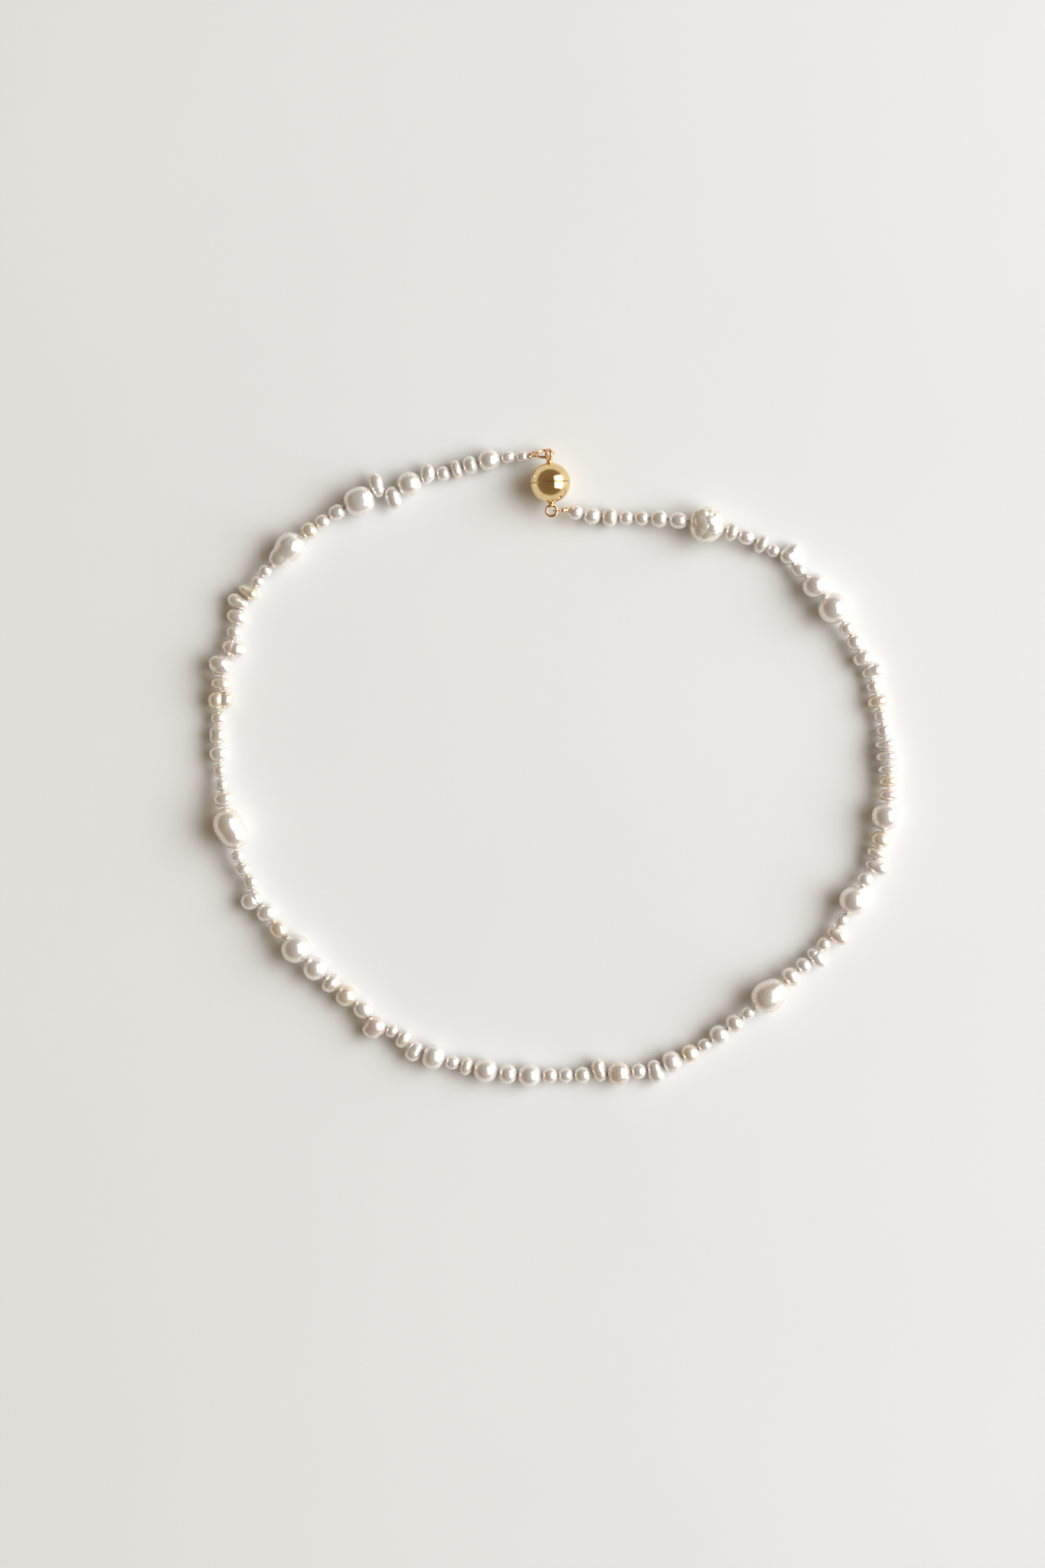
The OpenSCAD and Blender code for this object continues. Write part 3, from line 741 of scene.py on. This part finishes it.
def fuse(piece, voxel):
    """Joins a piece's overlapping closed skins into one, with soft fillets where they meet."""
    remesh = piece.modifiers.new("fuse", "REMESH")
    remesh.mode = "VOXEL"
    remesh.voxel_size = voxel * MM
    remesh.use_smooth_shade = True
    ease = piece.modifiers.new("ease", "SMOOTH")
    ease.factor = 0.5
    ease.iterations = 6
    graph = bpy.context.evaluated_depsgraph_get()
    mesh = bpy.data.meshes.new_from_object(piece.evaluated_get(graph))
    mesh.name = piece.name
    piece.modifiers.clear()
    piece.data = mesh
    mesh.polygons.foreach_set("use_smooth", [True] * len(mesh.polygons))


def stand_for(piece, node, body):
    """Lets a piece ride a body in place of its CAD node."""
    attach(piece, body)
    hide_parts(node)


def half_shell(side):
    """One half of the ball: polished skin, a rolled rim, and the pocket that holds its magnet."""
    name = "upper" if side > 0 else "lower"
    corners = points_of(f"clasp_{name}_shell") - BALL_AT
    magnet = points_of(f"clasp_{name}_magnet") - BALL_AT
    # The rims stand closer together than the CAD faces, so that only a fine parting line shows
    closer, play, chamfer = 0.055, 0.02, 0.06
    roll, pocket_r, hole, hole_depth = 0.16, 2.53, 0.42, 0.9
    radius = np.linalg.norm(corners, axis=1).max()
    face = (corners @ BALL_AXIS * side).min() - closer
    floor = (magnet @ BALL_AXIS * side).max() + play
    rim = math.sqrt((radius - roll) ** 2 - (face + roll) ** 2)
    lean = math.degrees(math.atan2(face + roll, rim))
    profile = [(0.0, floor), (pocket_r, floor), (pocket_r, face + chamfer),
               (pocket_r + chamfer, face)]
    profile += arc((rim, face + roll), roll, -90, lean, 7)
    profile += arc((0, 0), radius, lean + 1.0, math.degrees(math.acos(hole / radius)), 44)
    profile += [(hole - 0.03, radius - 0.12), (hole - 0.03, radius - hole_depth),
                (0.0, radius - hole_depth)]
    points, faces = skin(lathe(profile, BALL_AT, BALL_AXIS * side, 160), "open")
    piece = add_mesh(f"ball_half_{name}", points, faces, GOLD)
    weld(piece)
    stand_for(piece, f"clasp_{name}_shell", f"clasp_{name}_half")


def fixed_eye(side):
    """A cast eye on a flared post that is soldered into the end of the ball."""
    name = "upper" if side > 0 else "lower"
    axis = BALL_AXIS * side
    corners = points_of(f"clasp_{name}_eye") - BALL_AT
    up = corners @ axis
    off = corners - np.outer(up, axis)
    reach = np.linalg.norm(off, axis=1)
    widest = unit(off[reach.argmax()])
    middle = BALL_AT + axis * (up.max() - reach.max())
    inner = np.linalg.norm(corners + BALL_AT - middle, axis=1).min()
    radius, wire = (reach.max() + inner) / 2, (reach.max() - inner) / 2
    flat = unit(np.cross(axis, widest))
    path = circle_path(middle, flat, radius, 96, zero=widest)
    ring = sweep(path, wire, 28, closed=True, up=flat)
    stem = [(0.0, up.min()), (0.36, up.min())]
    flare = [(0.38, -0.1), (0.72, -0.06), (0.74, 0.02), (0.5, 0.12), (0.4, 0.3), (0.42, 0.5), (0.3, 0.62),
             (0.0, 0.66)]
    post = stem + [(r, BALL_R + h) for r, h in flare]
    points, faces = joined(ring, skin(lathe(post, BALL_AT, axis, 40), "open"))
    piece = add_mesh(f"fixed_eye_{name}", points, faces, ROSE_GOLD)
    weld(piece)
    fuse(piece, voxel=0.035)
    stand_for(piece, f"clasp_{name}_eye", f"clasp_{name}_half")


def magnet_disc(side):
    """A plated disc magnet with rounded edges."""
    name = "upper" if side > 0 else "lower"
    corners = points_of(f"clasp_{name}_magnet") - BALL_AT
    up = corners @ (BALL_AXIS * side)
    radius = np.linalg.norm(corners - np.outer(up, BALL_AXIS * side), axis=1).max()
    low, high, cut = up.min(), up.max(), 0.14
    profile = [(0.0, low), (radius - cut, low)] + arc((radius - cut, low + cut), cut, -90, 0, 5)
    profile += arc((radius - cut, high - cut), cut, 0, 90, 5) + [(0.0, high)]
    points, faces = skin(lathe(profile, BALL_AT, BALL_AXIS * side, 96), "open")
    piece = add_mesh(f"disc_magnet_{name}", points, faces, NICKEL)
    weld(piece)
    stand_for(piece, f"clasp_{name}_magnet", f"clasp_{name}_half")


def split_ring():
    """The jump ring: round wire, sawn through once and pressed nearly closed."""
    middle, flat, radius, wire = ring_of("jump_ring")
    half_gap = 1.1
    # The cut is on the far side from the ball, a little down
    away = unit(middle - BALL_AT + 2 * np.array([0.0, 1.0, -1.0]))
    away = unit(away - flat * (away @ flat))
    path = circle_path(middle, flat, radius, 120, half_gap, 360 - half_gap, zero=away)
    points, faces = sweep(path, wire, 28, up=flat)
    piece = add_mesh("split_jump_ring", points, faces, ROSE_GOLD)
    stand_for(piece, "jump_ring", "jump_ring")


def gimp_loop(side):
    """A loop of thread inside gimp, a close coil of very fine gilt wire."""
    middle, flat, radius, outer = ring_of(f"{side}_wire_loop")
    fine, sides = 0.036, 8
    core = outer - 2 * fine
    turns = int(2 * math.pi * radius / (2.05 * fine))
    steps = turns * 12
    angle = np.linspace(0, 2 * math.pi, steps, endpoint=False)
    path = circle_path(middle, flat, 1.0, steps) - middle
    coil = (core + fine) * np.stack([np.cos(turns * angle), np.sin(turns * angle)], 1)
    helix = middle + path * (radius + coil[:, :1]) + flat * coil[:, 1:]
    wire = sweep(helix, fine, sides, closed=True, up=flat)
    inside = sweep(circle_path(middle, flat, radius, 64), core, 12, closed=True, up=flat)
    points, faces = joined(wire, inside)
    piece = add_mesh(f"gimp_loop_{side}", points, faces, GIMP_GOLD)
    stand_for(piece, f"{side}_wire_loop", f"{side}_11")


def crimp_bead(side):
    """A short rolled tube with rounded lips, pinched in its middle to hold the thread."""
    corners = points_of(f"{side}_crimp")
    axis = unit(RINGS[1] - RINGS[0] if side == "right" else RINGS[-2] - RINGS[-1])
    middle = (corners.min(0) + corners.max(0)) / 2
    along = (corners - middle) @ axis
    out = np.linalg.norm(corners - middle - np.outer(along, axis), axis=1)
    half, radius, hole = along.max(), out.max(), out.min()
    lip, pinch = (radius - hole) / 2, 0.07
    profile = arc((hole + lip, half - lip), lip, 180, 0, 9)
    profile += [(radius - 0.02, half * 0.4), (radius - pinch, 0.0), (radius - 0.02, -half * 0.4)]
    profile += arc((hole + lip, lip - half), lip, 0, -180, 9)
    points, faces = skin(lathe(profile, middle, axis, 48), "joined")
    piece = add_mesh(f"crimp_bead_{side}", points, faces, ROSE_GOLD)
    weld(piece)
    stand_for(piece, f"{side}_crimp", f"{side}_11")


for side in (1, -1):
    half_shell(side)
    fixed_eye(side)
for side in (1, -1):
    magnet_disc(side)
split_ring()
for side in ("left", "right"):
    gimp_loop(side)
    crimp_bead(side)
